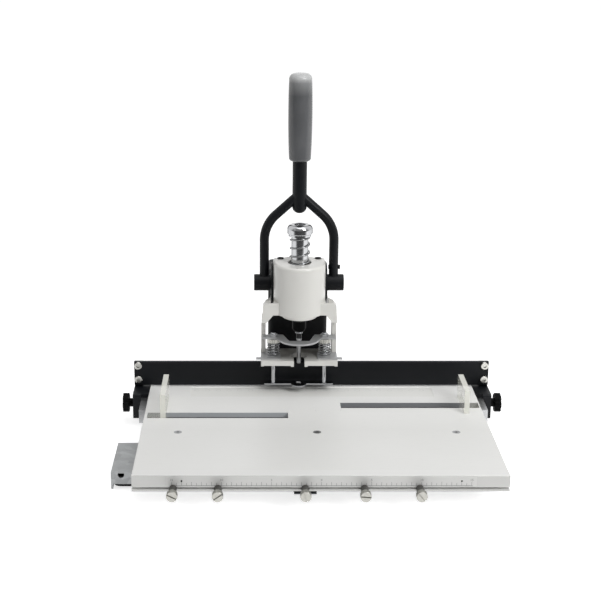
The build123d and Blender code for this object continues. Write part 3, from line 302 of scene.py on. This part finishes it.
def grip_plastic(top):
    """Mid-grey moulded grip: fine grain, slight polish where the hand rubs, and a painted highlight that
    makes its top palest.
    """
    f = Finish("grey grip", Specular_IOR_Level=0.45)
    # painted highlight: the top of the grip is painted pale where it catches the light
    painted_top_highlight = f.ramp((f.axis("Z") - top) / TOP_HIGHLIGHT_H + 1.0, (0.0, 0.0), (0.6, 0.35), (0.8, 1.0))
    worn = f.rising(f.noise(scale=26.0, detail=4.0), 0.42, 0.66)
    colour = f.between(worn, srgb(88, 89, 91), srgb(97, 98, 100))
    f.put(Base_Color=f.between(painted_top_highlight, colour, srgb(186, 187, 187)))
    f.put(Roughness=0.26 - worn * 0.06)
    f.bump(f.cells(scale=1500.0), 0.02)
    return f.material


def black_rubber():
    f = Finish("black rubber")
    tone = f.noise(scale=60.0, detail=3.0)
    f.put(Base_Color=f.between(tone, srgb(30, 30, 31), srgb(44, 44, 44)))
    f.put(Roughness=varied(0.78, tone, 0.2))
    f.bump(f.noise(scale=900.0, detail=3.0), 0.05)
    return f.material


def lines_in_metal(f, stretch, scale=220.0):
    return f.noise(scale=scale, detail=4.0, stretch=stretch)


LINE_DEPTH_MM = 0.004


def metal(name, light, dark, rough, stretch):
    """Bare or plated metal with fine lines, drawn out by the stretch, and a few dull stains."""
    f = Finish(name)
    line = lines_in_metal(f, stretch)
    stain = f.noise(scale=24.0, detail=3.0)
    f.put(Metallic=1.0 - f.ramp(stain, (0.66, 0.0), (0.85, 0.25)))
    f.put(Base_Color=f.between(line * 0.6 + stain * 0.4, dark, light))
    f.put(Roughness=varied(rough, line, rough * 0.7))
    f.bump(line, LINE_DEPTH_MM)
    return f.material


RAIL_FILM_T = 0.02 * MM
RAIL_FACE_T = 0.8 * MM
RAIL_SLOT_DROP = 6 * MM
RAIL_SHADE_EDGE_H = 0.45 * MM


def rail_finish(low, high):
    """Extruded rail: anodised face, white film on top; its slot is painted pale as a painted reflection, and
    its lower edge dark as painted shade.
    """
    f = Finish("anodised rail")
    line = lines_in_metal(f, (0.05, 6.0, 6.0))
    z = f.axis("Z")
    # painted reflection: the slot's hollow is painted pale
    slot_painted_light = (f.axis("Y") > low[1] + RAIL_FACE_T) * (z < high[2] - RAIL_SLOT_DROP)
    pale = (z > high[2] - RAIL_FILM_T).or_more(slot_painted_light)
    colour = f.between(line, srgb(186, 186, 184), srgb(200, 200, 198))
    # painted shade: the rail's lower edge is painted dark
    colour = f.between(z < low[2] + RAIL_SHADE_EDGE_H, colour, srgb(96, 96, 96))
    f.put(Base_Color=f.between(pale, colour, srgb(231, 231, 229)))
    f.put(Metallic=(1 - pale) * 0.7)
    f.put(Roughness=varied(0.46, line, 0.3))
    f.bump(line, LINE_DEPTH_MM)
    return f.material


def plated(name, light, dark, rough):
    """Dull plated or rolled metal with cloudy patches."""
    f = Finish(name)
    cloud = f.noise(scale=70.0, detail=4.0)
    grain = f.noise(scale=600.0, detail=2.0)
    f.put(Base_Color=f.between(cloud * 0.7 + grain * 0.3, dark, light))
    f.put(Metallic=0.5 + cloud * 0.15)
    f.put(Roughness=varied(rough, cloud, 0.14))
    f.bump(grain, 0.006)
    return f.material


def quill_finish(black_below):
    """Chromed quill whose nose under the head is blackened."""
    f = Finish("quill chrome")
    nose = f.axis("Z") < black_below
    line = lines_in_metal(f, (1.0, 1.0, 18.0))
    bright = f.between(line, srgb(176, 177, 179), srgb(198, 199, 201))
    f.put(Base_Color=f.between(nose, bright, srgb(20, 20, 22)))
    f.put(Metallic=1.0 - nose * 0.9)
    f.put(Roughness=0.09 + line * 0.05 + nose * 0.35)
    f.bump(line, LINE_DEPTH_MM)
    return f.material


def drill_finish(black_above):
    """Ground steel tube with a blackened shank."""
    f = Finish("drill steel")
    shank = f.axis("Z") > black_above
    line = lines_in_metal(f, (1.0, 1.0, 6.0), scale=260.0)
    bright = f.between(line, srgb(150, 151, 153), srgb(186, 187, 188))
    f.put(Base_Color=f.between(shank, bright, srgb(34, 34, 36)))
    f.put(Metallic=1.0 - shank * 0.6)
    f.put(Roughness=0.30 + line * 0.1)
    f.bump(line, LINE_DEPTH_MM)
    return f.material


def galvanised():
    """Zinc sheet: angular spangles in several greys."""
    f = Finish("galvanised sheet")
    spangle = f.node("ShaderNodeSeparateColor", None, {0: f.cells(scale=130.0, out="Color")}, "Red")
    fine = f.noise(scale=260.0, detail=3.0)
    f.put(Base_Color=f.between(spangle * 0.7 + fine * 0.3, srgb(138, 140, 141), srgb(176, 178, 179)))
    f.put(Metallic=0.80 + fine * 0.15)
    f.put(Roughness=0.38 + spangle * 0.14)
    f.bump(fine, 0.01)
    return f.material


SAWN_EDGE_T = 0.2 * MM


def clear_acrylic(name, low, high):
    """Clear cast sheet, faintly yellow-grey, with hazy scuffs and frosted sawn edges."""
    f = Finish(name)
    haze = f.rising(f.noise(scale=60.0, detail=4.0, stretch=(1.0, 1.0, 4.0)), 0.55, 0.75)
    sawn = (f.axis("Z") > high[2] - SAWN_EDGE_T) + (f.axis("Y") < low[1] + SAWN_EDGE_T)
    f.put(Base_Color=f.between(haze, srgb(240, 240, 230), srgb(230, 230, 220)))
    f.put(Alpha=0.20 + haze * 0.12 + sawn * 0.55)
    f.put(Roughness=0.08 + haze * 0.2)
    return f.material


def thumbscrew(head_back):
    """Nickel knurled head; the shank behind it is darker."""
    f = Finish("thumbscrew nickel")
    shank = f.axis("Y") > head_back
    line = lines_in_metal(f, (1.0, 0.1, 1.0), scale=300.0)
    bright = f.between(line, srgb(156, 155, 149), srgb(190, 189, 183))
    f.put(Base_Color=f.between(shank, bright, srgb(96, 95, 92)))
    f.put(Metallic=1.0 - shank * 0.1)
    f.put(Roughness=0.24 + line * 0.12 + shank * 0.2)
    f.bump(line, 0.006)
    return f.material


def ink():
    f = Finish("printed ink")
    tone = f.noise(scale=900.0, detail=2.0)
    f.put(Base_Color=f.between(tone, srgb(92, 92, 94), srgb(122, 122, 124)))
    f.put(Roughness=0.5 + tone * 0.2)
    return f.material


QUILL_NOSE_TOP = 135 * MM
DRILL_BRIGHT_L = 31 * MM
THUMB_HEAD_L = 7 * MM

WHITE = enamel("white enamel", srgb(226, 225, 221), srgb(216, 215, 210),
               rough=0.30, peel=0.02, coat=0.35, gloss=0.5, painted_shade=guide_painted_shade)
BLACK = enamel("black enamel", srgb(12, 14, 17), srgb(18, 20, 24),
               rough=0.45, peel=0.03, coat=0.02, gloss=0.2)
CASTING = enamel("black casting paint", srgb(10, 10, 12), srgb(16, 16, 19),
                 rough=0.55, peel=0.09, coat=0.02, gloss=0.25)
LAMINATE = laminate()
STRIP = cutting_plastic()
MOULDED = matt_black("black moulded plastic")
OXIDE = matt_black("black oxide")
GRIP = grip_plastic(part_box("lever_grip")[1][2])
RUBBER = black_rubber()
CHROME = metal("chrome", srgb(196, 197, 199), srgb(178, 179, 182), 0.10, (1.0, 1.0, 18.0))
STEEL = metal("plain steel", srgb(186, 187, 188), srgb(150, 151, 153), 0.34, (1.0, 1.0, 6.0))
SHEET_STEEL = metal("sheet steel", srgb(196, 197, 198), srgb(168, 169, 171), 0.30, (0.15, 4.0, 4.0))
NICKEL = metal("nickel", srgb(208, 207, 202), srgb(180, 179, 174), 0.20, (1.0, 1.0, 8.0))
SPRING_WIRE = metal("spring wire", srgb(168, 169, 170), srgb(128, 129, 131), 0.22, (1.0, 1.0, 3.0))
BRONZE = metal("bearing bronze", srgb(196, 160, 104), srgb(168, 132, 82), 0.32, (1.0, 1.0, 10.0))
POLISHED = metal("polished plate", srgb(176, 177, 179), srgb(158, 159, 162), 0.10, (0.3, 3.0, 3.0))
# painted shade: a darker copy of the sheet steel, for the parts that sit in the slots and under the rail
SHADED_SLOT_STEEL = metal("slot steel", srgb(84, 86, 88), srgb(62, 64, 66), 0.42, (0.15, 4.0, 4.0))
RAIL = rail_finish(*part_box("front_rail"))
RULER = plated("ruler aluminium", srgb(210, 210, 208), srgb(200, 200, 198), 0.56)
PLATED = plated("plated pressing", srgb(196, 197, 198), srgb(172, 173, 175), 0.40)
QUILL = quill_finish(QUILL_NOSE_TOP)
DRILL = drill_finish(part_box("hollow_drill")[0][2] + DRILL_BRIGHT_L)
ZINC = galvanised()
INK = ink()
THUMB = thumbscrew(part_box("index_stop_1")[0][1] + THUMB_HEAD_L)

WEARS = {
    "head_casting": WHITE, "table_board": LAMINATE, "cutting_strip": STRIP, "column": CASTING,
    "base_plate": BLACK, "bearing_cover_left": BLACK, "bearing_cover_right": BLACK,
    "lever_bow": BLACK, "lever_rod": BLACK, "lever_hubs": BLACK, "lever_pin": BLACK, "ruler_pins": BLACK,
    "gauge_bar": BLACK, "gauge_block_left": BLACK, "gauge_block_right": BLACK,
    "runner_front": MOULDED, "runner_rear": MOULDED, "clamp_knob_left": MOULDED, "clamp_knob_right": MOULDED,
    "drill_chuck": OXIDE, "top_screws": OXIDE, "lever_grip": GRIP, "sole_pad": RUBBER, "front_pads": RUBBER,
    "base_housing": ZINC, "quill": QUILL, "hollow_drill": DRILL,
    "spring_button": CHROME, "chuck_ring": CHROME, "presser_rods": CHROME,
    "presser_plate": POLISHED, "presser_bridge": PLATED, "friction_clips": PLATED,
    "slot_rails": SHADED_SLOT_STEEL, "index_catch": SHADED_SLOT_STEEL, "guide_strips": SHEET_STEEL,
    "base_screws": STEEL, "column_bolts": STEEL, "head_bolts": STEEL, "rod_nuts": STEEL,
    "pinion_shaft": STEEL, "drive_pinion": STEEL, "table_screws": STEEL, "guide_strip_screws": STEEL,
    "clamp_nuts": STEEL, "knurled_nuts": NICKEL, "gauge_screws": NICKEL, "quill_bush": BRONZE,
    "front_rail": RAIL, "ruler": RULER, "return_spring": SPRING_WIRE, "presser_springs": SPRING_WIRE,
}
for side in ("left", "right"):
    stop = "side_stop_" + side
    WEARS[stop] = clear_acrylic("clear acrylic " + side, *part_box(stop))
for count in range(1, 6):
    WEARS["index_stop_%d" % count] = THUMB
for node, material in WEARS.items():
    NODES[node].data.materials.clear()
    NODES[node].data.materials.append(material)


# New pieces

def link(name, data):
    made = bpy.data.objects.new(name, data)
    bpy.context.scene.collection.objects.link(made)
    return made


def piece(name, bm, material, smooth=True):
    mesh = bpy.data.meshes.new(name)
    bm.to_mesh(mesh)
    bm.free()
    for face in mesh.polygons:
        face.use_smooth = smooth
    mesh.materials.append(material)
    return link(name, mesh)


WIRE_SIDES = 14
STEPS_A_TURN = 40
CLOSED_TURNS = 0.75
CLOSED_PITCH_SHARE = 1.04


def edges_of(geom):
    return [e for e in geom if isinstance(e, bmesh.types.BMEdge)]


def wind(bm, centre, low, high, mean_r, wire, turns):
    """Winds one compression spring with closed end turns."""
    section = bmesh.ops.create_circle(bm, segments=WIRE_SIDES, radius=wire / 2)["verts"]
    start = Matrix.Translation((centre.x + mean_r, centre.y, low + wire / 2))
    upright = Matrix.Rotation(math.pi / 2, 4, "X")
    bmesh.ops.transform(bm, matrix=start @ upright, verts=section)
    geom = section + [e for e in bm.edges if e.verts[0] in section and e.verts[1] in section]
    first = edges_of(geom)
    closed_rise = CLOSED_TURNS * wire * CLOSED_PITCH_SHARE
    closed = (CLOSED_TURNS, closed_rise)
    for part_turns, part_rise in (closed, (turns, high - low - wire - 2 * closed_rise), closed):
        steps = int(part_turns * STEPS_A_TURN)
        spun = bmesh.ops.spin(bm, geom=geom, angle=part_turns * 2 * math.pi, steps=steps, axis=(0, 0, 1),
                              cent=centre, dvec=(0, 0, part_rise / steps))
        geom = spun["geom_last"]
    for rim in (first, edges_of(geom)):
        bmesh.ops.holes_fill(bm, edges=rim, sides=0)
    bmesh.ops.recalc_face_normals(bm, faces=bm.faces)


QUILL_WIRE = 1.9 * MM
QUILL_TURNS = 4.0

low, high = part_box("return_spring")
bm = bmesh.new()
wind(bm, Vector((0, 0, 0)), low[2], high[2], (high[0] - low[0] - QUILL_WIRE) / 2, QUILL_WIRE, QUILL_TURNS)
quill_coil = piece("quill_coil", bm, SPRING_WIRE)
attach(quill_coil, "frame")
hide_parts("return_spring")
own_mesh(quill_coil)

PRESSER_WIRE = 1.5 * MM
PRESSER_TURNS = 3.5

low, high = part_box("presser_springs")
bm = bmesh.new()
width = high[1] - low[1]
for x in (low[0] + width / 2, high[0] - width / 2):
    coil = bmesh.new()
    wind(coil, Vector((x, 0, 0)), low[2], high[2], (width - PRESSER_WIRE) / 2, PRESSER_WIRE, PRESSER_TURNS)
    kept = bpy.data.meshes.new("coil")
    coil.to_mesh(kept)
    coil.free()
    bm.from_mesh(kept)
    bpy.data.meshes.remove(kept)
presser_coils = piece("presser_coils", bm, SPRING_WIRE)
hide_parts("presser_springs")
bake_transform(presser_coils)

# Ruler marks: a base line, a tick every 5 mm, and centimetre numbers from the middle outwards
INK_PROUD = 0.06 * MM
BASE_LINE_L = 302 * MM
BASE_LINE_H = 0.5 * MM
TICK_W = 0.32 * MM
TICK_PITCH = 5 * MM
TICKS_A_SIDE = 30
LONG_TICK = 4.4 * MM
SHORT_TICK = 3.3 * MM
TICK_RISE = 0.2 * MM
NUMBER_RISE = 5.6 * MM
NUMBER_SIZE = 3.4 * MM
NUMBERS_A_SIDE = 3
NUMBER_STEP_CM = 5
CM = 10 * MM

ruler_low, ruler_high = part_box("ruler")
middle_x = (ruler_low[0] + ruler_high[0]) / 2
face_y = ruler_low[1]
bm = bmesh.new()
bars = [(middle_x, BASE_LINE_L, BASE_LINE_H)]
for step in range(-TICKS_A_SIDE, TICKS_A_SIDE + 1):
    bars.append((middle_x + step * TICK_PITCH, TICK_W, SHORT_TICK if step % 2 else LONG_TICK))
for x, wide, tall in bars:
    made = bmesh.ops.create_cube(bm, size=1.0)["verts"]
    at = Matrix.Translation((x, face_y, ruler_low[2] + TICK_RISE + tall / 2))
    bmesh.ops.transform(bm, matrix=at @ Matrix.Diagonal((wide, INK_PROUD * 2, tall, 1)), verts=made)
for step in range(-NUMBERS_A_SIDE, NUMBERS_A_SIDE + 1):
    number = bpy.data.curves.new("number", "FONT")
    number.body = str(abs(step) * NUMBER_STEP_CM)
    number.size = NUMBER_SIZE
    number.align_x = "CENTER"
    number.extrude = INK_PROUD
    number.resolution_u = 2
    holder = link("number", number)
    bpy.context.view_layer.update()
    flat = bpy.data.meshes.new_from_object(holder)
    at = Matrix.Translation((middle_x + step * NUMBER_STEP_CM * CM, face_y, ruler_low[2] + NUMBER_RISE))
    flat.transform(at @ Matrix.Rotation(math.pi / 2, 4, "X"))
    bm.from_mesh(flat)
    bpy.data.objects.remove(holder)
    bpy.data.meshes.remove(flat)
    bpy.data.curves.remove(number)
ruler_marks = piece("ruler_marks", bm, INK, smooth=False)
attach(ruler_marks, "table")


# Stage, light and camera

FLOOR_R = 14.0
FLOOR_SIDES = 64
FLOOR_GLOW = 0.74
DIM_START = 0.42
DIM_END = 0.62


def floor_finish():
    """White to the eye, with the shadow kept; polished metal sees a dim room beyond the stage's front."""
    f = Finish("pale floor", Roughness=0.9, Specular_IOR_Level=0.0, Emission_Strength=FLOOR_GLOW)
    dim = f.rising(f.axis("Y") * -1.0, DIM_START, DIM_END) * f.ray("Glossy")
    f.put(Base_Color=f.between(dim, (0.80, 0.80, 0.80), (0.10, 0.10, 0.10)))
    f.put(Emission_Color=f.background_rays() * (1 - dim))
    return f.material


bm = bmesh.new()
bmesh.ops.create_circle(bm, cap_ends=True, segments=FLOOR_SIDES, radius=FLOOR_R)
floor = piece("floor", bm, floor_finish(), smooth=False)

# The camera sees a white world; gloss sees it darken towards the front, and plain light is held low
PLAIN_LEVEL = 0.34
FRONT_LEVEL = 0.30
FRONT_DIRECTION_Y = -0.45
BACK_DIRECTION_Y = 0.05

scene = bpy.context.scene
scene.world = bpy.data.worlds.new("studio")
scene.world.use_nodes = True
studio = Shading(scene.world.node_tree)
sky = studio.tree.nodes["Background"]
sky.inputs["Color"].default_value = (1, 1, 1, 1)
direction = studio.node("ShaderNodeTexCoord", out="Generated")
room = studio.node("ShaderNodeMapRange", None, {
    "Value": studio.node("ShaderNodeSeparateXYZ", None, {0: direction}, "Y"),
    "From Min": FRONT_DIRECTION_Y, "From Max": BACK_DIRECTION_Y, "To Min": FRONT_LEVEL, "To Max": 1.0})
level = studio.node("ShaderNodeMapRange", None, {
    "Value": studio.background_rays(), "To Min": PLAIN_LEVEL, "To Max": room.or_more(studio.ray("Camera"))})
studio.tree.links.new(level.socket, sky.inputs["Strength"])

TARGET = Vector((0.0, -0.06, 0.15))


def softbox(name, place, size, watts):
    lamp = bpy.data.lights.new(name, "AREA")
    lamp.shape = "RECTANGLE"
    lamp.size, lamp.size_y = size
    lamp.energy = watts
    made = link(name, lamp)
    made.location = place
    made.rotation_euler = (TARGET - Vector(place)).to_track_quat("-Z", "Y").to_euler()


softbox("key", place=(1.1, -1.2, 1.3), size=(0.7, 1.1), watts=20.0)
softbox("fill", place=(-1.3, -1.0, 1.0), size=(0.5, 1.1), watts=0.5)
softbox("top", place=(0.2, -0.3, 1.9), size=(1.6, 1.2), watts=9.5)

# The camera as fitted to the table's edges and the rule
TILT = math.radians(72.914)

scene.view_settings.view_transform = "Standard"
lens = bpy.data.cameras.new("photo view")
lens.sensor_width = 36.0
lens.lens = 79.55
lens.shift_x = 0.0723
camera = link("photo view", lens)
camera.location = (-0.0484, -1.4533, 0.5940)
camera.rotation_euler = (TILT, 0, 0)
scene.camera = camera
